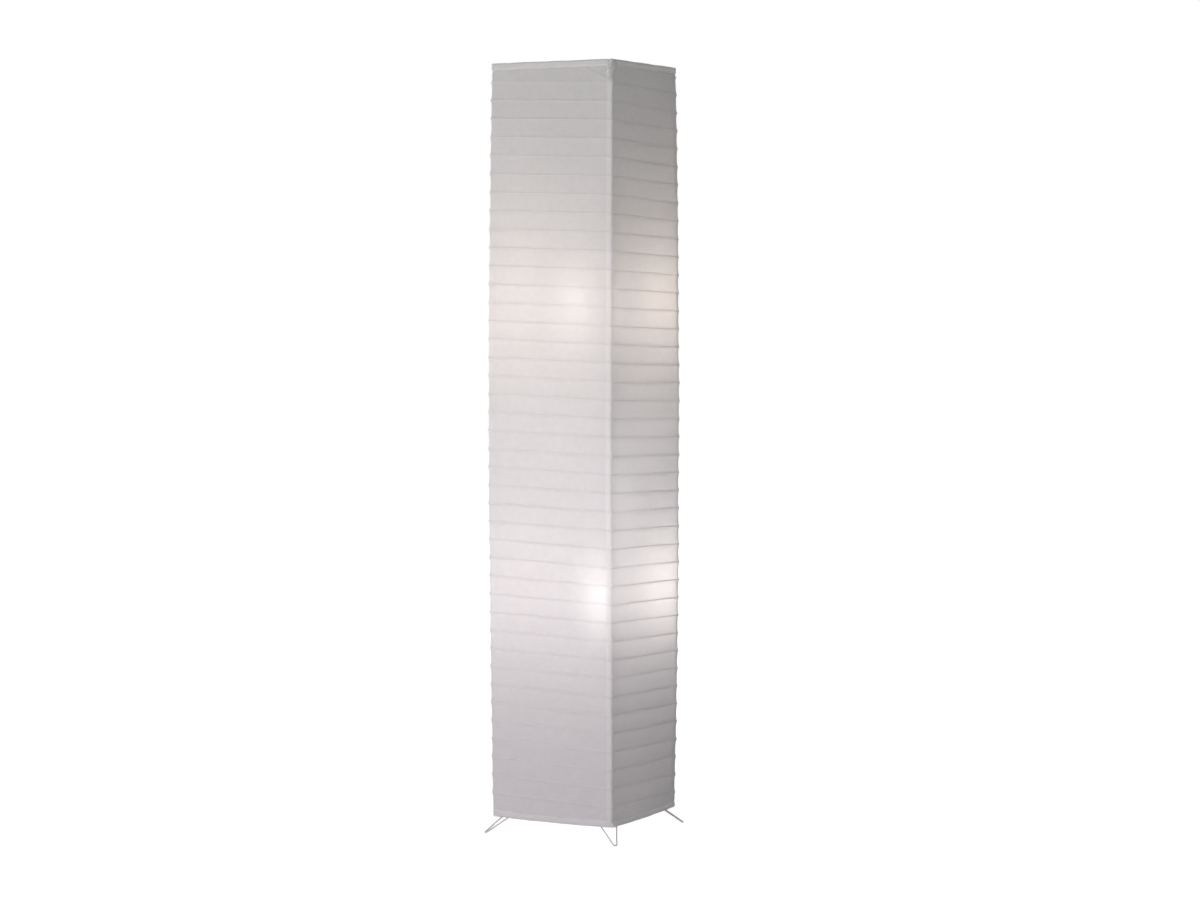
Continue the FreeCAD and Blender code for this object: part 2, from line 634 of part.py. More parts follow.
hem("bottom_hem", "foot_height", "foot_height", "foot_height")
top_hem = hem("top_hem", "shade_top - paper", "shade_top - hem_depth", "shade_top - hem_return")
notch = new_sketch(top_hem, "XY_Plane", "shade_top - paper")
near = "hem_wire / 2 + 0.2"
far = "return_half + 0.2"
outline(notch, [
    (near, f"-({near})"), (far, f"-({near})"), (far, near), (near, near), (near, far),
    (f"-({near})", far), (f"-({near})", near), (f"-({far})", near), (f"-({far})", f"-({near})"),
    (f"-({near})", f"-({near})"), (f"-({near})", f"-({far})"), (near, f"-({far})"),
])
pocket(top_hem, notch, "hem_return")

# Four bellied paper panels. Each turns the corner at its left end and laps over its neighbour.
# The paper is tight over the ribs and dries hollow between them, so a panel is a ruled loft
# through slanting outlines, one on every rib and one halfway down to the next.
mid_height = size("foot_height") + size("shade_height") / 2
drop = size("rib_pitch") / 4
top_corner = size("shade_top") - size("rib_start")


def belly(up):
    """How far the shade stands out past its ends at a height."""
    share = (up - mid_height) / (size("shade_height") / 2)
    return size("swell") * (1 - share * share)


def face_at(up, hollow):
    """How far a panel's face stands from the axis. It isn't hollow near the hems."""
    from_end = min(size("shade_top") - up, up - size("foot_height"))
    free = (from_end - size("rib_pitch") - size("hem_depth")) / size("rib_pitch")
    return size("panel_half") + belly(up) - hollow * min(max(free, 0), 1)


def panel_outline(turn, left_up, right_up, hollow):
    """The closed outline across a panel: its face, its turned corner and the lap."""
    bend = size("panel_corner")
    left_run = face_at(left_up, hollow) - bend
    right_run = face_at(right_up, hollow) - bend
    slant = (right_up - left_up) / (left_run + right_run)

    def spot(across, forward):
        return Vector(across, -forward, left_up + slant * (across + left_run))

    def skin(radius):
        """One side of the sheet, from its right-hand end to the end of its lap."""
        outer = left_run + radius
        inner = left_run + radius * math.sqrt(0.5)
        end = spot(right_run - 0.3, right_run + radius - size("lap_step"))
        front, diagonal, back = spot(-left_run, outer), spot(-inner, inner), spot(-outer, left_run)
        tip = spot(-outer, left_run - size("lap"))
        return [Part.makeLine(end, front), Part.Arc(front, diagonal, back).toShape(),
                Part.makeLine(back, tip)], end, tip

    outside, outside_end, outside_tip = skin(bend)
    inside, inside_end, inside_tip = skin(bend - size("paper"))
    drawn = Part.Wire(Part.__sortEdges__(
        outside + [Part.makeLine(outside_tip, inside_tip)] + inside
        + [Part.makeLine(inside_end, outside_end)]))
    drawn.rotate(Vector(0, 0, 0), Vector(0, 0, 1), turn)
    return drawn


highest = size("shade_top") - size("paper") - 0.1
lowest = size("foot_height") + size("paper") + 0.1
for order, (side, turn) in enumerate((("right", 90), ("back", 180), ("left", 270), ("front", 0))):
    outlines = [panel_outline(turn, highest, highest, 0)]
    left_up = top_corner - order * drop
    while left_up - drop > lowest + 1:
        if len(outlines) > 1:
            halfway = left_up + size("rib_pitch") / 2
            outlines.append(panel_outline(turn, halfway, halfway - drop, size("hollow")))
        outlines.append(panel_outline(turn, left_up, left_up - drop, 0))
        left_up -= size("rib_pitch")
    outlines.append(panel_outline(turn, lowest, lowest, 0))
    add_shape("paper_" + side, Part.makeLoft(outlines, True, True))

# The rib wire is one square helix. It drops a quarter of its pitch along every side.
inset = size("paper") + size("lap_step") + size("rib_slack") + size("rib") / 2


def rib_half(up):
    """Half the width of the rib wire's square at a height."""
    return size("panel_half") + belly(up) - inset


rib_bend = size("panel_corner") - inset
runs = math.floor((top_corner - size("foot_height") - size("hem_return") - 1) / drop)
corners = []
for count in range(runs + 1):
    up = top_corner - count * drop
    sx, sy = ((1, -1), (1, 1), (-1, 1), (-1, -1))[count % 4]
    corners.append(Vector(sx * rib_half(up), sy * rib_half(up), up))
corners[0] += (corners[1] - corners[0]).normalize() * rib_bend
corners[-1] += (corners[-2] - corners[-1]).normalize() * rib_bend
rib_path = route(corners, rib_bend)
ahead = (corners[1] - corners[0]).normalize()
outward = ahead.cross(Vector(0, 0, 1)).normalize()
upward = outward.cross(ahead).normalize()
flat = size("rib") / 2
rib_section = Part.makePolygon([
    corners[0] + outward * flat * sx + upward * flat * sy
    for sx, sy in ((1, -1), (1, 1), (-1, 1), (-1, -1), (1, -1))])
rib_wire = add_shape("rib_wire", swept_shape(rib_path, rib_section))
# Points on the centreline, then the least distance between points on different turns.
stations = rib_path.discretize(Distance=12)
least = min((a - b).Length for place, a in enumerate(stations)
            for b in stations[place + 20:place + 150])
print("rib_wire runs", runs, "bend radius", round(rib_bend, 2), "length",
      round(rib_path.Length, 1), "volume", round(rib_wire.Shape.Volume, 1),
      "least gap to itself", round(least - size("rib"), 2))

doc.recompute()

# Every object must be sound before anything is written.
for item in doc.Objects:
    if "Invalid" in item.State or "Error" in item.State:
        raise RuntimeError(f"{item.Label}: {item.State}")
for label, made in pieces.items():
    for item in made:
        if item.Shape.isNull() or not item.Shape.isValid() or len(item.Shape.Solids) != 1:
            raise RuntimeError(f"{label}: its shape isn't one sound solid")
for label, made in pieces.items():
    shape = made[0].Shape if len(made) == 1 else Part.makeCompound([p.Shape for p in made])
    shape.exportStep(f"parts/{label}.step")
print("nodes", len(pieces))
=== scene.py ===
import math

import bmesh
import bpy
from mathutils import Matrix, Vector, noise


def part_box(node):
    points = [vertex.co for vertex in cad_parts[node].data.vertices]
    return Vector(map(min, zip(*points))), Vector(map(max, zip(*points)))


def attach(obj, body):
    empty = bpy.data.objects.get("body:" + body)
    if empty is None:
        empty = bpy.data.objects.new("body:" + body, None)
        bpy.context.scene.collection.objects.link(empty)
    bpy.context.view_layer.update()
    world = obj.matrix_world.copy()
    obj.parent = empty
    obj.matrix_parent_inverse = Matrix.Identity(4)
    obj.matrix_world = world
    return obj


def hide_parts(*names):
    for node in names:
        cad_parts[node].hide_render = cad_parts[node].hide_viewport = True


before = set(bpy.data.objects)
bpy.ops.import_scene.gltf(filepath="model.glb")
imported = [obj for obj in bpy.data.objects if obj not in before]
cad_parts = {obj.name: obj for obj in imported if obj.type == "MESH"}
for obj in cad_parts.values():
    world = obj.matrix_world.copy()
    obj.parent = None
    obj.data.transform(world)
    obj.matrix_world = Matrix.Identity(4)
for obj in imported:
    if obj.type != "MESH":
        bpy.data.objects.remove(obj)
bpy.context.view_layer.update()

# Base, legs and pole. A square of bent wire on four straight spokes, four V-shaped wire legs,
# and on a turned hub a pole of tube in three lengths with an arm for each bulb. All of it has
# a satin white powder coat, a little thinner on the legs.
side_names = ("right", "back", "left", "front")


def new_material(name):
    """An empty material with its output, and the object's own coordinates."""
    made = bpy.data.materials.new(name)
    made.use_nodes = True
    nodes = made.node_tree.nodes
    nodes.clear()
    output = nodes.new("ShaderNodeOutputMaterial")
    place = nodes.new("ShaderNodeTexCoord")
    return made, nodes, made.node_tree.links, output, place


def plain_finish(name, colour, roughness, grain, height, metallic=0.0):
    """A coated or bare surface with slight changes of shade. The grain is finer the higher
    its number, and stands up by the height."""
    made, nodes, links, output, place = new_material(name)
    patches = nodes.new("ShaderNodeTexNoise")
    patches.inputs["Scale"].default_value = 90
    patches.inputs["Detail"].default_value = 4
    shade = nodes.new("ShaderNodeValToRGB")
    shade.color_ramp.elements[0].position = 0.35
    shade.color_ramp.elements[0].color = (*[c * 0.9 for c in colour], 1)
    shade.color_ramp.elements[1].position = 0.7
    shade.color_ramp.elements[1].color = (*colour, 1)
    peel = nodes.new("ShaderNodeTexNoise")
    peel.inputs["Scale"].default_value = grain
    peel.inputs["Detail"].default_value = 3
    bump = nodes.new("ShaderNodeBump")
    bump.inputs["Strength"].default_value = 0.4
    bump.inputs["Distance"].default_value = height
    surface = nodes.new("ShaderNodeBsdfPrincipled")
    surface.inputs["Roughness"].default_value = roughness
    surface.inputs["Metallic"].default_value = metallic
    links.new(place.outputs["Object"], patches.inputs["Vector"])
    links.new(place.outputs["Object"], peel.inputs["Vector"])
    links.new(patches.outputs[0], shade.inputs["Fac"])
    links.new(shade.outputs["Color"], surface.inputs["Base Color"])
    links.new(peel.outputs[0], bump.inputs["Height"])
    links.new(bump.outputs["Normal"], surface.inputs["Normal"])
    links.new(surface.outputs[0], output.inputs["Surface"])
    return made


def coat(material, *names):
    """Puts one finish on nodes of the frame."""
    for name in names:
        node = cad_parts[name]
        node.data.materials.clear()
        node.data.materials.append(material)


powder_coat = plain_finish("white_powder_coat", (0.74, 0.74, 0.73), roughness=0.38,
                           grain=1400, height=0.00012)
leg_coat = plain_finish("grey_white_leg_coat", (0.78, 0.78, 0.78), roughness=0.35,
                        grain=1400, height=0.00008)
coat(powder_coat, "base_square", "base_hub", "pole_lower", "pole_middle", "pole_upper",
     "arm_lower", "arm_upper", *["base_spoke_" + side for side in side_names])
coat(leg_coat, "leg_front_left", "leg_front_right", "leg_back_right", "leg_back_left")

# Joints and small steel parts. Turned collars join the pole's lengths, threaded tubes and nuts
# hold the lamp holders on their arms, and grub screws lock hub and arms. All are zinc plated.
zinc = plain_finish("bright_zinc", (0.62, 0.63, 0.65), roughness=0.3,
                    grain=500, height=0.00005, metallic=1.0)
coat(zinc, "pole_joint_lower", "pole_joint_upper", "nipple_lower", "nipple_upper",
     "nipple_nuts", "grub_screws")

# Plastic mouldings. The pole's cap with the pin that carries the shade, the cord's inlet in
# the hub, the clips for the lead, and the cap and skirt of each holder, moulded in white.
moulding = plain_finish("white_moulding", (0.8, 0.8, 0.78), roughness=0.5,
                        grain=1100, height=0.00006)
coat(moulding, "pole_cap", "cord_gland", "lead_clips", "holder_cap_lower",
     "holder_cap_upper", "holder_skirt_lower", "holder_skirt_upper")

# Inside each holder. A ceramic contact block sits on the cap, with the centre contact and a
# rolled shell of drawn brass that the bulb screws into.
ceramic = plain_finish("unglazed_ceramic", (0.78, 0.75, 0.7), roughness=0.7,
                       grain=700, height=0.0002)
brass = plain_finish("drawn_brass", (0.72, 0.55, 0.25), roughness=0.28,
                     grain=400, height=0.00005, metallic=1.0)
coat(ceramic, "holder_insert_lower", "holder_insert_upper")
coat(brass, "holder_shell_lower", "holder_shell_upper", "holder_contact_lower",
     "holder_contact_upper")

# Leads. Round two-core flex in a smooth white jacket. One runs from the inlet up inside the
# pole to the lower holder. The other links the two holders, and clips hold it to the pole.
jacket = plain_finish("white_lead_jacket", (0.78, 0.78, 0.76), roughness=0.48,
                      grain=600, height=0.0001)
coat(jacket, "supply_lead", "link_lead")

# Bulbs. Frosted glass that glows all over, a rolled aluminium screw cap and a solder contact.
# Each screws into its holder's shell, and a round lamp about the glass gives its light.
cap_metal = plain_finish("rolled_aluminium", (0.75, 0.75, 0.76), roughness=0.32,
                         grain=450, height=0.00006, metallic=1.0)
solder = plain_finish("dull_solder", (0.5, 0.5, 0.5), roughness=0.5,
                      grain=800, height=0.0002, metallic=1.0)
coat(cap_metal, "bulb_cap_lower", "bulb_cap_upper")
coat(solder, "bulb_tip_lower", "bulb_tip_upper")
off_glass = 0.001
lamplight = {"lower": ((1.0, 0.93, 0.92), 0.31), "upper": ((1.0, 0.86, 0.76), 0.25)}
for level, (colour, power) in lamplight.items():
    glass, nodes, links, output, place = new_material("frosted_glass_" + level)
    frost = nodes.new("ShaderNodeTexNoise")
    frost.inputs["Scale"].default_value = 1500
    bump = nodes.new("ShaderNodeBump")
    bump.inputs["Distance"].default_value = 0.00005
    surface = nodes.new("ShaderNodeBsdfPrincipled")
    surface.inputs["Base Color"].default_value = (0.9, 0.89, 0.86, 1)
    surface.inputs["Roughness"].default_value = 0.4
    surface.inputs["Emission Color"].default_value = (1.0, 0.84, 0.62, 1)
    surface.inputs["Emission Strength"].default_value = 0.55
    links.new(place.outputs["Object"], frost.inputs["Vector"])
    links.new(frost.outputs[0], bump.inputs["Height"])
    links.new(bump.outputs["Normal"], surface.inputs["Normal"])
    links.new(surface.outputs[0], output.inputs["Surface"])
    coat(glass, "bulb_glass_" + level)
    low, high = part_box("bulb_glass_" + level)
    glass_radius = (high[0] - low[0]) / 2
    # The lamp is a ball just outside the glass. With a soft falloff it would be a disc inside
    # the glass, which would hold its light back.
    ball = bpy.data.lights.new("bulb_light_" + level, "POINT")
    ball.shadow_soft_size = glass_radius + off_glass
    ball.use_soft_falloff = False
    ball.energy = power
    ball.color = colour
    bulb_light = bpy.data.objects.new("bulb_light_" + level, ball)
    bulb_light.visible_camera = False
    bulb_light.location = ((low[0] + high[0]) / 2, (low[1] + high[1]) / 2, high[2] - glass_radius)
    bpy.context.scene.collection.objects.link(bulb_light)

# Rib wire. One length of 1.2 mm spring steel with a thin white lacquer, wound round a square
# former from hem to hem. Its loose turns let the hung shade belly out, turn and sway a little.
shade_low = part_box("bottom_hem")[0][2]
shade_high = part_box("top_hem")[1][2]
shade_middle = (shade_low + shade_high) / 2
hem_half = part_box("top_hem")[1][0]
corner_bend = 0.0032
bend_length = corner_bend * math.pi / 2
flat_length = 2 * (hem_half - corner_bend)
side_length = bend_length + flat_length
pitch = 0.02742
first_rib = shade_high - 0.0074
rib_turns = 40.75
skin_inset = 0.0007
neck = 0.0011
belly = 0.0037
loose_twist = -0.024
loose_sway = 0.0007
# Each side: its place in the order in which the wire runs, the way it faces, and the way
# along it that the wire runs.
sides = {
    "right": (0, Vector((1, 0, 0)), Vector((0, 1, 0))),
    "back": (1, Vector((0, 1, 0)), Vector((-1, 0, 0))),
    "left": (2, Vector((-1, 0, 0)), Vector((0, -1, 0))),
    "front": (3, Vector((0, -1, 0)), Vector((1, 0, 0))),
}


def shade_half(height):
    """Half the width of the hung shade at a height: drawn in under the hems, then a belly."""
    share = (height - shade_middle) / (shade_high - shade_middle)
    from_end = min(height - shade_low, shade_high - height)
    drawn_in = neck * math.exp(-max(from_end - 0.009, 0) / 0.006)
    return hem_half - skin_inset - drawn_in + belly * (1 - share * share)


def hung(point, height):
    """A point of one level of the shade, turned and shifted as the loose turns hang."""
    share = (height - shade_middle) / (shade_high - shade_middle)
    loose = min(max(1 - abs(share), 0) / 0.06, 1)
    twist = loose_twist * (1 - share * share)
    sway_x = loose_sway * loose * noise.noise(Vector((height * 13, 0.3, 0.7)))
    sway_y = loose_sway * loose * noise.noise(Vector((height * 13, 5.3, 2.7)))
    turned = Matrix.Rotation(twist, 3, "Z") @ point
    return Vector((turned.x + sway_x, turned.y + sway_y, height))


def side_point(side, way, height, lift):
    """A point on the shade's skin. Way runs from the start of the side's left corner, a
    lap before that is less than nothing, and lift is how far it stands out."""
    order, outward, along = sides[side]
    half = shade_half(height)
    run = half - corner_bend
    if way < bend_length:
        angle = min(max(bend_length - way, 0), bend_length) / corner_bend
        spot = outward * run - along * run - outward * max(-way, 0)
        spot += (outward * math.cos(angle) - along * math.sin(angle)) * (corner_bend + lift)
    else:
        spot = outward * (half + lift) + along * run * (2 * (way - bend_length) / flat_length - 1)
    return hung(spot, height)


def height_on_turn(order, way, turn):
    """Height of the wound rib, and of the rows of paper that follow it, on one side."""
    return first_rib - pitch * (turn + (order + (way - bend_length / 2) / side_length) / 4)


wire_lacquer = plain_finish("white_wire_lacquer", (0.6, 0.6, 0.59), roughness=0.42,
                            grain=900, height=0.0001)
wire_radius = 0.0006
wire_sides = 8
paper_thick = 0.0004
bend_steps, flat_steps = 5, 9
stations = [bend_length * n / bend_steps for n in range(bend_steps)]
stations += [bend_length + flat_length * n / flat_steps for n in range(flat_steps)]
rings = []
for run_number in range(int(rib_turns * 4)):
    turn, order = divmod(run_number, 4)
    rings += [(order, way, turn) for way in stations]
rib = bmesh.new()
bmesh.ops.create_grid(rib, x_segments=len(rings) - 1, y_segments=wire_sides, size=0.5)
for v in rib.verts:
    order, way, turn = rings[round((v.co.x + 0.5) * (len(rings) - 1))]
    angle = round((v.co.y + 0.5) * wire_sides) % wire_sides / wire_sides * 2 * math.pi
    height = height_on_turn(order, way, turn)
    lift = -paper_thick - wire_radius + wire_radius * math.cos(angle)
    ring_point = side_point(side_names[order], way, height, lift)
    v.co = ring_point + Vector((0, 0, wire_radius * math.sin(angle)))
bmesh.ops.remove_doubles(rib, verts=rib.verts[:], dist=1e-6)
bmesh.ops.holes_fill(rib, edges=[e for e in rib.edges if e.is_boundary], sides=12)
bmesh.ops.recalc_face_normals(rib, faces=rib.faces[:])
mesh = bpy.data.meshes.new("wound_rib")
rib.to_mesh(mesh)
rib.free()
mesh.shade_smooth()
mesh.materials.append(wire_lacquer)
wound_rib = bpy.data.objects.new("wound_rib", mesh)
bpy.context.scene.collection.objects.link(wound_rib)
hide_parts("rib_wire")
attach(wound_rib, "shade")

# Hem wires and the shade's cross. Squares of 3 mm wire keep both hems open, and at the top
# four spokes are welded to a turned hub that drops over the pin of the pole's cap.
coat(wire_lacquer, "top_wire", "bottom_wire", "top_hub", *["top_spoke_" + side for side in side_names])

# Paper panels. Four strips of bleached rice paper are glued wet over the rib wire, one on
# each side. A strip turns the corner at its left end and laps over the end of the next.
# As it dries it pulls in a little between two turns, so every turn shows as a fine ridge.
hem_depth = 0.010
ridge_height = 0.0009
ridge_reach = 0.0021
hollow_depth = 0.0006
corner_softness = 0.0045
slack_depth = 0.0003
pucker_depth = 0.00028
tooth_depth = 0.0001
fold_depth = 0.0013
seam_depth = 0.0004
crease_width = 0.0019
crease_strength = 2.1
creased = 0.045
corner_reach = 0.012
# Each crease by the hems: its end of the shade, how far it starts from the side's right-hand
# corner and from the hem's edge, the same for where it ends, and how far it stands out.
creases = {
    "front": [("top", 0.042, 0.013, 0.002, 0.031, 0.0009), ("top", 0.026, 0.011, 0.004, 0.024, 0.0007),
              ("top", 0.012, 0.010, 0.003, 0.018, -0.0008), ("bottom", 0.062, 0.017, 0.006, 0.030, 0.0007),
              ("bottom", 0.050, 0.012, 0.020, 0.020, -0.0005), ("top", 0.150, 0.012, 0.176, 0.022, 0.0004)],
    "right": [("top", 0.185, 0.012, 0.150, 0.020, 0.0005), ("bottom", 0.180, 0.013, 0.155, 0.026, 0.0005),
              ("top", 0.020, 0.012, 0.005, 0.022, 0.0005)],
    "back": [("top", 0.036, 0.012, 0.004, 0.027, 0.0008), ("bottom", 0.045, 0.013, 0.008, 0.026, 0.0006)],
    "left": [("top", 0.030, 0.013, 0.003, 0.026, 0.0007), ("bottom", 0.055, 0.014, 0.010, 0.025, 0.0006)],
}


def crease_lift(side, way, height):
    """How far the creases by the hems raise or sink the paper at a point."""
    from_corner = side_length - way
    total = 0.0
    for end, corner_from, hem_from, corner_to, hem_to, depth in creases[side]:
        from_hem = shade_high - height if end == "top" else height - shade_low
        if from_hem > creased:
            continue
        start = Vector((corner_from, hem_from))
        line = Vector((corner_to, hem_to)) - start
        spot = Vector((from_corner, from_hem)) - start
        share = min(max(spot.dot(line) / line.length_squared, 0), 1)
        off_line = (spot - line * share).length
        fall = math.exp(-((off_line / crease_width) ** 2))
        total += crease_strength * depth * fall * (0.35 + 0.65 * share)
    return total


def paper_lift(side, way, turn, height):
    """How far the dried paper stands out: ridges on the ribs, hollows between, puckers."""
    part = turn - math.floor(turn)
    off_rib = min(part, 1 - part) * pitch
    round_way = sides[side][0] + way / side_length
    band = math.floor(turn) * 3.7
    from_bend = max(0, way - bend_length)
    corner = max(0.0, 1 - from_bend / corner_reach, 1 - (side_length - way) / corner_reach)
    hollow = 4 * part * (1 - part)
    uneven = 1 + 0.6 * noise.noise(Vector((band, round_way * 2.3, 0.0)))
    bevel = math.exp(-(((way - bend_length / 2) / corner_softness) ** 2))
    between = -hollow_depth * (uneven * hollow ** 0.7 * (1 - corner) + bevel * hollow)
    strength = 1 + 0.35 * noise.noise(Vector((band, round_way * 5.0, 8.0)))
    ridge = (ridge_height + 0.0004 * corner) * strength
    ridge *= math.exp(-((off_rib / ridge_reach) ** 1.3))
    if turn < -0.01 or turn > rib_turns + 0.01:
        ridge = 0.0
    from_end = min(height - shade_low, shade_high - height)
    fade = min(max((from_end - hem_depth) / 0.010, 0.0), 1.0)
    slack = noise.noise(Vector((round_way * 7.0, height * 38.0, 1.7))) * slack_depth
    pucker = noise.noise(Vector((round_way * 34.0, band, 4.1)))
    pucker *= pucker_depth * math.exp(-off_rib / 0.005)
    fine = noise.noise(Vector((round_way * 52.0, height * 210.0, 4.1))) * tooth_depth
    to_corner = min(abs(way - bend_length / 2), side_length - way + bend_length / 2)
    past_hem = max(from_end - hem_depth, 0)
    gathered = math.exp(-((to_corner / corner_reach) ** 2) - (past_hem / corner_reach) ** 2)
    folds = noise.noise(Vector((way * 260, height * 170, sides[side][0]))) * fold_depth * gathered
    seam = -seam_depth * math.exp(-(((way - bend_length - 0.0014) / 0.0011) ** 2))
    return (between + ridge) * fade + slack + pucker + fine + folds + seam + crease_lift(side, way, height)


# Rows of the sheet on one turn of the wire, as shares of the turn. They are close to each
# other by the ribs, and all the way by the hems, as the columns are by the right-hand corner.
rib_rows = (0.0, 0.014, 0.032, 0.056, 0.944, 0.968, 0.986)
rows_per_turn = sorted(rib_rows + (0.1, 0.25, 0.5, 0.75, 0.9))
rows_by_hem = sorted(rib_rows + tuple(0.04 * n for n in range(2, 24)))
lap = 0.0062
lap_steps, corner_steps = 5, 8
lap_lift = 0.0005
under_lap = 0.02
lap_dense = 0.45
rib_dense = 0.6
hidden_in_hem = 0.0075
coarse_steps, close_steps = 58, 43
columns = [lap * (n / lap_steps - 1) for n in range(lap_steps)]
columns += [bend_length * n / corner_steps for n in range(corner_steps)]
columns += [bend_length + (flat_length - creased) * n / coarse_steps for n in range(coarse_steps)]
columns += [side_length - creased * (1 - n / close_steps) for n in range(close_steps + 1)]
# The rows run past both hems, and the ends are then cut off inside the folds of the hems.
turns = []
for turn in range(-2, 43):
    near_hem = turn < 2 or turn > 37
    turns += [turn + part for part in (rows_by_hem if near_hem else rows_per_turn)]
for side, (order, outward, along) in sides.items():
    panel = bmesh.new()
    bmesh.ops.create_grid(panel, x_segments=len(columns) - 1, y_segments=len(turns) - 1, size=0.5)
    dense = panel.verts.layers.float.new("dense")
    for v in panel.verts:
        way = columns[round((v.co.x + 0.5) * (len(columns) - 1))]
        turn = turns[round((v.co.y + 0.5) * (len(turns) - 1))]
        height = height_on_turn(order, way, turn)
        lift = paper_lift(side, way, turn, height)
        lift += lap_lift * min(max(bend_length - way, 0) / bend_length, 1)
        lift -= lap_lift * min(max(way - side_length + under_lap, 0) / corner_reach, 1)
        strip = min(max((bend_length * 0.9 - way) / 0.002, 0), 1)
        on_rib = math.exp(-((min(turn % 1, 1 - turn % 1) * pitch / 0.0008) ** 2))
        has_rib = -0.1 < turn < rib_turns + 0.1
        v[dense] = max(lap_dense * strip, rib_dense * on_rib if has_rib else 0)
        v.co = side_point(side, way, height, lift)
    for level, keep in ((shade_low + hidden_in_hem, -1), (shade_high - hidden_in_hem, 1)):
        bmesh.ops.bisect_plane(
            panel, geom=panel.verts[:] + panel.edges[:] + panel.faces[:], dist=1e-7,
            plane_co=(0, 0, level), plane_no=(0, 0, keep), clear_outer=True)
    if sum((f.normal for f in panel.faces), Vector()).dot(outward) < 0:
        bmesh.ops.reverse_faces(panel, faces=panel.faces[:])
    mesh = bpy.data.meshes.new("rice_paper_" + side)
    panel.to_mesh(mesh)
    panel.free()
    mesh.shade_smooth()
    sheet = bpy.data.objects.new("rice_paper_" + side, mesh)
    bpy.context.scene.collection.objects.link(sheet)
    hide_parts("paper_" + side)
    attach(sheet, "shade")


def painted_glow_spot(nodes, links, place, centre, reach, strength):
    """Brightness of a soft patch of painted glow, which stands for lamplight through the paper."""
    mapping = nodes.new("ShaderNodeMapping")
    mapping.inputs["Location"].default_value = [-c / r for c, r in zip(centre, reach)]
    mapping.inputs["Scale"].default_value = [1 / r for r in reach]
    ball = nodes.new("ShaderNodeTexGradient")
    ball.gradient_type = "QUADRATIC_SPHERE"
    brightness = nodes.new("ShaderNodeMath")
    brightness.operation = "MULTIPLY"
    brightness.inputs[1].default_value = strength
    links.new(place.outputs["Object"], mapping.inputs["Vector"])
    links.new(mapping.outputs["Vector"], ball.inputs["Vector"])
    links.new(ball.outputs[1], brightness.inputs[0])
    return brightness


def rice_paper(name, thin, white, spots):
    """White rice paper: cloudy pulp, fibres and small creases. Thin is the share of the light
    that comes through, white is how light the paper is, and spots are patches of painted glow."""
    made, nodes, links, output, place = new_material(name)
    cloud = nodes.new("ShaderNodeTexNoise")
    cloud.inputs["Scale"].default_value = 120
    cloud.inputs["Detail"].default_value = 6
    pulp = nodes.new("ShaderNodeValToRGB")
    pulp.color_ramp.elements[0].position = 0.3
    pulp.color_ramp.elements[0].color = (white - 0.03, white - 0.034, white - 0.032, 1)
    pulp.color_ramp.elements[1].position = 0.72
    pulp.color_ramp.elements[1].color = (white, white - 0.004, white - 0.002, 1)
    dense = nodes.new("ShaderNodeAttribute")
    dense.attribute_name = "dense"
    whiter = nodes.new("ShaderNodeMix")
    whiter.data_type = "RGBA"
    whiter.inputs[7].default_value = (0.94, 0.935, 0.935, 1)
    stretch = nodes.new("ShaderNodeMapping")
    stretch.inputs["Scale"].default_value = (1, 1, 2.2)
    crush = nodes.new("ShaderNodeTexVoronoi")
    crush.inputs["Scale"].default_value = 95
    fibres = nodes.new("ShaderNodeTexNoise")
    fibres.inputs["Scale"].default_value = 620
    fibres.inputs["Detail"].default_value = 3
    fibres.inputs["Distortion"].default_value = 1.5
    crumple = nodes.new("ShaderNodeBump")
    crumple.inputs["Strength"].default_value = 0.35
    crumple.inputs["Distance"].default_value = 0.0006
    tooth = nodes.new("ShaderNodeBump")
    tooth.inputs["Strength"].default_value = 0.2
    tooth.inputs["Distance"].default_value = 0.00012
    surface = nodes.new("ShaderNodeBsdfPrincipled")
    surface.inputs["Roughness"].default_value = 0.85
    surface.inputs["Specular IOR Level"].default_value = 0.2
    through = nodes.new("ShaderNodeBsdfTranslucent")
    clear = nodes.new("ShaderNodeMapRange")
    clear.inputs["To Min"].default_value = thin
    clear.inputs["To Max"].default_value = thin * 0.5
    mix = nodes.new("ShaderNodeMixShader")
    links.new(place.outputs["Object"], cloud.inputs["Vector"])
    links.new(place.outputs["Object"], stretch.inputs["Vector"])
    links.new(stretch.outputs["Vector"], crush.inputs["Vector"])
    links.new(place.outputs["Object"], fibres.inputs["Vector"])
    links.new(cloud.outputs[0], pulp.inputs["Fac"])
    links.new(crush.outputs["Distance"], crumple.inputs["Height"])
    links.new(fibres.outputs[0], tooth.inputs["Height"])
    links.new(crumple.outputs["Normal"], tooth.inputs["Normal"])
    links.new(dense.outputs["Fac"], whiter.inputs[0])
    links.new(pulp.outputs["Color"], whiter.inputs[6])
    links.new(whiter.outputs[2], surface.inputs["Base Color"])
    links.new(whiter.outputs[2], through.inputs["Color"])
    links.new(tooth.outputs["Normal"], surface.inputs["Normal"])
    links.new(dense.outputs["Fac"], clear.inputs["Value"])
    links.new(clear.outputs[0], mix.inputs["Fac"])
    links.new(surface.outputs[0], mix.inputs[1])
    links.new(through.outputs[0], mix.inputs[2])
    shader = mix
    # Each spot is painted lamplight: an emission patch, weaker where the paper is dense.
    for centre, reach, colour, strength in spots:
        painted_patch_light = nodes.new("ShaderNodeEmission")
        painted_patch_light.inputs["Color"].default_value = (*colour, 1)
        spot = painted_glow_spot(nodes, links, place, centre, reach, strength / thin)
        passed = nodes.new("ShaderNodeMath")
        passed.operation = "MULTIPLY"
        links.new(spot.outputs[0], passed.inputs[0])
        links.new(clear.outputs[0], passed.inputs[1])
        links.new(passed.outputs[0], painted_patch_light.inputs["Strength"])
        both = nodes.new("ShaderNodeAddShader")
        links.new(shader.outputs[0], both.inputs[0])
        links.new(painted_patch_light.outputs[0], both.inputs[1])
        shader = both
    links.new(shader.outputs[0], output.inputs["Surface"])
    return made


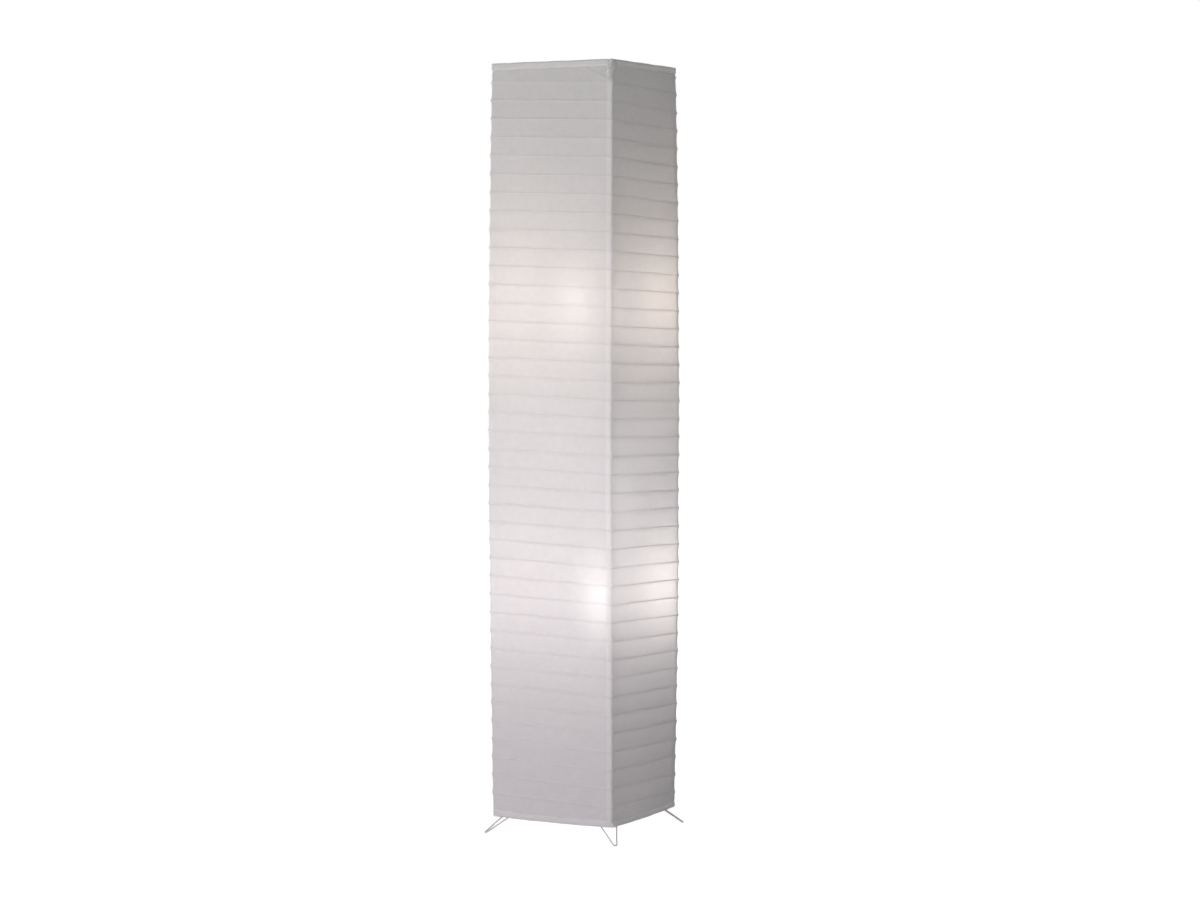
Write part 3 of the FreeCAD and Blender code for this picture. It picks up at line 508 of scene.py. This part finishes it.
glass_middle = 0.03
lower_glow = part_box("bulb_glass_lower")[1][2] - glass_middle
upper_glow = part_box("bulb_glass_upper")[1][2] - glass_middle
# Where lamplight is painted on each side as a glow: the middle of each patch, how far it
# reaches each way, its colour and its brightness. The last patch of a side is faint and covers most of it.
painted_glow_places = {
    "front": [((0.083, -0.105, lower_glow), (0.065, 0.08, 0.10), (1.0, 0.98, 0.95), 0.35),
              ((0.042, -0.105, upper_glow), (0.075, 0.08, 0.12), (1.0, 0.91, 0.87), 0.22),
              ((0, -0.105, shade_middle), (0.4, 0.2, 0.5), (1.0, 0.97, 0.975), 0.07)],
    "right": [((0.105, -0.085, lower_glow + 0.015), (0.08, 0.12, 0.19), (1.0, 0.94, 0.93), 0.17),
              ((0.105, -0.09, upper_glow), (0.08, 0.09, 0.15), (1.0, 0.89, 0.86), 0.17),
              ((0.105, -0.075, lower_glow + 0.15), (0.08, 0.10, 0.21), (1.0, 0.97, 0.98), 0.13),
              ((0.105, 0.02, upper_glow), (0.08, 0.13, 0.15), (1.0, 0.76, 0.68), 0.09),
              ((0.105, 0, shade_middle), (0.2, 0.4, 0.5), (1.0, 0.97, 0.975), 0.10)],
    "left": [((-0.105, 0.04, lower_glow), (0.08, 0.11, 0.14), (1.0, 0.95, 0.92), 0.10),
             ((-0.105, 0.04, upper_glow), (0.08, 0.11, 0.16), (1.0, 0.86, 0.8), 0.08),
             ((-0.105, 0, shade_middle), (0.2, 0.4, 0.5), (1.0, 0.97, 0.975), 0.07)],
    "back": [((0.0, 0.105, lower_glow), (0.11, 0.08, 0.14), (1.0, 0.95, 0.92), 0.10),
             ((-0.02, 0.105, upper_glow), (0.11, 0.08, 0.16), (1.0, 0.86, 0.8), 0.08),
             ((0, 0.105, shade_middle), (0.4, 0.2, 0.5), (1.0, 0.97, 0.975), 0.07)],
}
for side, spots in painted_glow_places.items():
    paper = rice_paper("rice_paper_" + side, thin=0.42, white=0.87, spots=spots)
    bpy.data.objects["rice_paper_" + side].data.materials.append(paper)

# Hems. At both ends a strip of the same paper is folded over a square of steel wire and
# glued to the panels outside and inside. It is whiter than the panels, with a faint painted glow,
# and is a bit crumpled, most of all where the fold is gathered round the near corner.

# The strip's section: how far in from its outer face, and how far from the hem's edge.
hem_fold = ((0.0005, 0.0100), (0.0001, 0.0085), (0.0002, 0.0066), (0.0005, 0.0048), (0.0001, 0.0034),
            (0.0000, 0.0020), (0.0004, 0.0009), (0.0012, 0.0002), (0.0022, 0.0002), (0.0030, 0.0009),
            (0.0035, 0.0020), (0.0036, 0.0038), (0.0034, 0.0058), (0.0016, 0.0072), (0.0012, 0.0100),
            (0.0005, 0.0100))
# A faint painted glow of lamplight, nearly even over the whole hem strip.
painted_hem_glow = ((0, 0, shade_middle), (3, 3, 3), (1.0, 0.99, 0.98), 0.04)
hem_paper = rice_paper("hem_paper", thin=0.55, white=0.96, spots=[painted_hem_glow])
around_steps = 4 * 120
hem_run = hem_half - corner_bend
fold_inset = 0.0006
fold_height = 0.0030
fold_reach = 0.009
deepest_fold, highest_fold = -0.0014, 0.0022
edge_wave = 0.0010
edge_pucker = 0.0022
bottom_sag = 0.0014


def share_of_side(part):
    """How far along its side a step of the hem lies: steps are closer round the corners."""
    if part < 0.2:
        return 0.08 * part / 0.2
    if part < 0.7:
        return 0.08 + 0.77 * (part - 0.2) / 0.5
    return 0.85 + 0.15 * (part - 0.7) / 0.3


for name, edge, into in (("top_hem", shade_high, -1), ("bottom_hem", shade_low, 1)):
    strip = bmesh.new()
    bmesh.ops.create_grid(strip, x_segments=around_steps, y_segments=len(hem_fold) - 1, size=0.5)
    for v in strip.verts:
        step = round((v.co.x + 0.5) * around_steps) % around_steps
        inward, down = hem_fold[round((v.co.y + 0.5) * (len(hem_fold) - 1))]
        side_number, part = divmod(step * 4 / around_steps, 1)
        order, outward, along = sides[side_names[int(side_number)]]
        share = share_of_side(part)
        way = share * side_length
        if way < bend_length:
            angle = math.pi / 2 - way / corner_bend
            spot = outward * hem_run - along * hem_run
            face = outward * math.cos(angle) - along * math.sin(angle)
            spot += face * (corner_bend - inward - fold_inset)
        else:
            face = outward
            spot = outward * (hem_half - inward - fold_inset)
            spot += along * hem_run * (2 * (way - bend_length) / flat_length - 1)
        spot.z = edge + into * down
        to_corner = min(abs(way - bend_length / 2), side_length - way + bend_length / 2)
        gathered = math.exp(-((to_corner / fold_reach) ** 2))
        soft = noise.noise(spot * 55) * 0.0004 + noise.noise(spot * 170) * 0.00025
        # The near corner lies between the front, which is last, and the right side.
        near_corner = (order == 3 and share > 0.5) or (order == 0 and share < 0.5)
        folds = (1 - 3.4 * abs(noise.noise(spot * 230 + Vector((3, 1, 2))))) * fold_height * gathered
        folds *= 1.0 if near_corner else 0.35
        v.co = spot + face * min(max(soft + folds, deepest_fold), highest_fold)
        v.co.z += into * abs(noise.noise(spot * 28 + Vector((9, 4, 1)))) * edge_wave
        if into == 1:
            v.co.z -= bottom_sag * (1 - (2 * share - 1) ** 2)
        pucker = abs(noise.noise(spot * 150 + Vector((2, 4, 1)))) * edge_pucker * gathered
        v.co.z += into * pucker * (1.0 if near_corner else 0.5)
    bmesh.ops.remove_doubles(strip, verts=strip.verts[:], dist=1e-6)
    bmesh.ops.recalc_face_normals(strip, faces=strip.faces[:])
    mesh = bpy.data.meshes.new("folded_" + name)
    strip.to_mesh(mesh)
    strip.free()
    mesh.shade_smooth()
    mesh.materials.append(hem_paper)
    hem = bpy.data.objects.new("folded_" + name, mesh)
    bpy.context.scene.collection.objects.link(hem)
    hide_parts(name)
    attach(hem, "shade")

# Knot. The end of the hem strip is twisted and tucked under the fold at the near top
# corner, where it dries as a small crumpled lump.
knot_size = (0.0070, 0.0056, 0.0150)
knot_place = (hem_half - 0.0040, -hem_half + 0.0021, shade_high - 0.0155)
knot = bmesh.new()
bmesh.ops.create_icosphere(knot, subdivisions=5, radius=1)
for v in knot.verts:
    crush = abs(noise.noise(v.co * Vector((2.6, 2.6, 3.4)) + Vector((4, 1, 7))))
    fine = abs(noise.noise(v.co * 6.5))
    v.co *= 1.12 - 0.95 * crush - 0.35 * fine
    v.co.x += 0.25 * math.sin(v.co.z * 3)
bmesh.ops.scale(knot, vec=knot_size, verts=knot.verts[:])
bmesh.ops.rotate(knot, matrix=Matrix.Rotation(math.radians(45), 3, "Z"), verts=knot.verts[:])
bmesh.ops.translate(knot, vec=knot_place, verts=knot.verts[:])
mesh = bpy.data.meshes.new("hem_knot")
knot.to_mesh(mesh)
knot.free()
mesh.shade_smooth()
mesh.materials.append(hem_paper)
hem_knot = bpy.data.objects.new("hem_knot", mesh)
bpy.context.scene.collection.objects.link(hem_knot)
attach(hem_knot, "shade")

# Studio. A pale floor that keeps the lamp's shadow, a white backdrop, and soft square lamps: a
# key pair at the front left and a weaker fill pair at the right, one of each pair for the upper
# half and one for the lower. The camera stands where the photograph was taken from.


def seen_directly(nodes, links):
    """One where the camera or a reflection looks at the surface, and nothing elsewhere."""
    path = nodes.new("ShaderNodeLightPath")
    either = nodes.new("ShaderNodeMath")
    either.operation = "MAXIMUM"
    links.new(path.outputs["Is Camera Ray"], either.inputs[0])
    links.new(path.outputs["Is Glossy Ray"], either.inputs[1])
    return either


floor_half = 9
near_shine, far_shine = 0.8, 1.0
ground = bmesh.new()
bmesh.ops.create_grid(ground, x_segments=8, y_segments=8, size=floor_half)
floor_mesh = bpy.data.meshes.new("studio_floor")
ground.to_mesh(floor_mesh)
ground.free()
floor = bpy.data.objects.new("studio_floor", floor_mesh)
bpy.context.scene.collection.objects.link(floor)
pale, nodes, links, output, place = new_material("pale_floor")
matt = nodes.new("ShaderNodeBsdfDiffuse")
matt.inputs["Color"].default_value = (0.8, 0.8, 0.8, 1)
fade = nodes.new("ShaderNodeTexGradient")
fade.gradient_type = "SPHERICAL"
reach = nodes.new("ShaderNodeMapping")
reach.inputs["Scale"].default_value = (0.8, 0.8, 0.8)
whiter = nodes.new("ShaderNodeMapRange")
whiter.inputs["To Min"].default_value = far_shine
whiter.inputs["To Max"].default_value = near_shine
shine = nodes.new("ShaderNodeEmission")
seen = seen_directly(nodes, links)
only_seen = nodes.new("ShaderNodeMixShader")
dark = nodes.new("ShaderNodeEmission")
dark.inputs["Strength"].default_value = 0
both = nodes.new("ShaderNodeAddShader")
links.new(place.outputs["Object"], reach.inputs["Vector"])
links.new(reach.outputs["Vector"], fade.inputs["Vector"])
links.new(fade.outputs[1], whiter.inputs["Value"])
links.new(whiter.outputs[0], shine.inputs["Strength"])
links.new(seen.outputs[0], only_seen.inputs["Fac"])
links.new(dark.outputs[0], only_seen.inputs[1])
links.new(shine.outputs[0], only_seen.inputs[2])
links.new(matt.outputs[0], both.inputs[0])
links.new(only_seen.outputs[0], both.inputs[1])
links.new(both.outputs[0], output.inputs["Surface"])
floor_mesh.materials.append(pale)

world = bpy.data.worlds.new("studio")
bpy.context.scene.world = world
world.use_nodes = True
nodes = world.node_tree.nodes
links = world.node_tree.links
nodes.clear()
sky = nodes.new("ShaderNodeBackground")
sky.inputs["Color"].default_value = (0.99, 0.985, 1.0, 1)
sky.inputs["Strength"].default_value = 0.18
white = nodes.new("ShaderNodeBackground")
white.inputs["Color"].default_value = (1, 1, 1, 1)
white.inputs["Strength"].default_value = 1.0
seen = seen_directly(nodes, links)
mixed = nodes.new("ShaderNodeMixShader")
output = nodes.new("ShaderNodeOutputWorld")
links.new(seen.outputs[0], mixed.inputs["Fac"])
links.new(sky.outputs[0], mixed.inputs[1])
links.new(white.outputs[0], mixed.inputs[2])
links.new(mixed.outputs[0], output.inputs["Surface"])


lamp_width = 0.6
lamp_spread = math.radians(80)


def soft_lamp(name, spot, aim, power, colour):
    """A large square lamp with a grid, aimed at a point."""
    data = bpy.data.lights.new(name, "AREA")
    data.shape = "SQUARE"
    data.size = lamp_width
    data.energy = power
    data.color = colour
    data.spread = lamp_spread
    lamp = bpy.data.objects.new(name, data)
    lamp.visible_camera = False
    lamp.location = spot
    lamp.rotation_euler = (Vector(aim) - Vector(spot)).to_track_quat("-Z", "Y").to_euler()
    bpy.context.scene.collection.objects.link(lamp)


soft_lamp("upper_key_lamp", (-1.3, -2.2, 0.60), (0, -0.1, 1.12), power=5.6, colour=(0.98, 1.0, 0.93))
soft_lamp("lower_key_lamp", (-1.3, -2.2, 0.58), (0, -0.1, 0.06), power=4.2, colour=(0.98, 0.85, 1.0))
soft_lamp("upper_fill_lamp", (2.5, -0.9, 0.62), (0.1, 0, 1.12), power=1.7, colour=(0.98, 1.0, 0.93))
soft_lamp("lower_fill_lamp", (2.5, -0.9, 0.56), (0.1, 0, 0.06), power=0.7, colour=(0.98, 0.84, 1.0))

view = bpy.data.cameras.new("view")
view.lens = 89.67
view.sensor_width = 36
view.clip_end = 60
camera = bpy.data.objects.new("view", view)
camera.location = (2.1561, -3.9887, 0.8245)
camera.rotation_euler = (math.radians(90 - 3.10), 0, math.radians(28.10))
bpy.context.scene.collection.objects.link(camera)
bpy.context.scene.camera = camera
bpy.context.scene.view_settings.view_transform = "Standard"
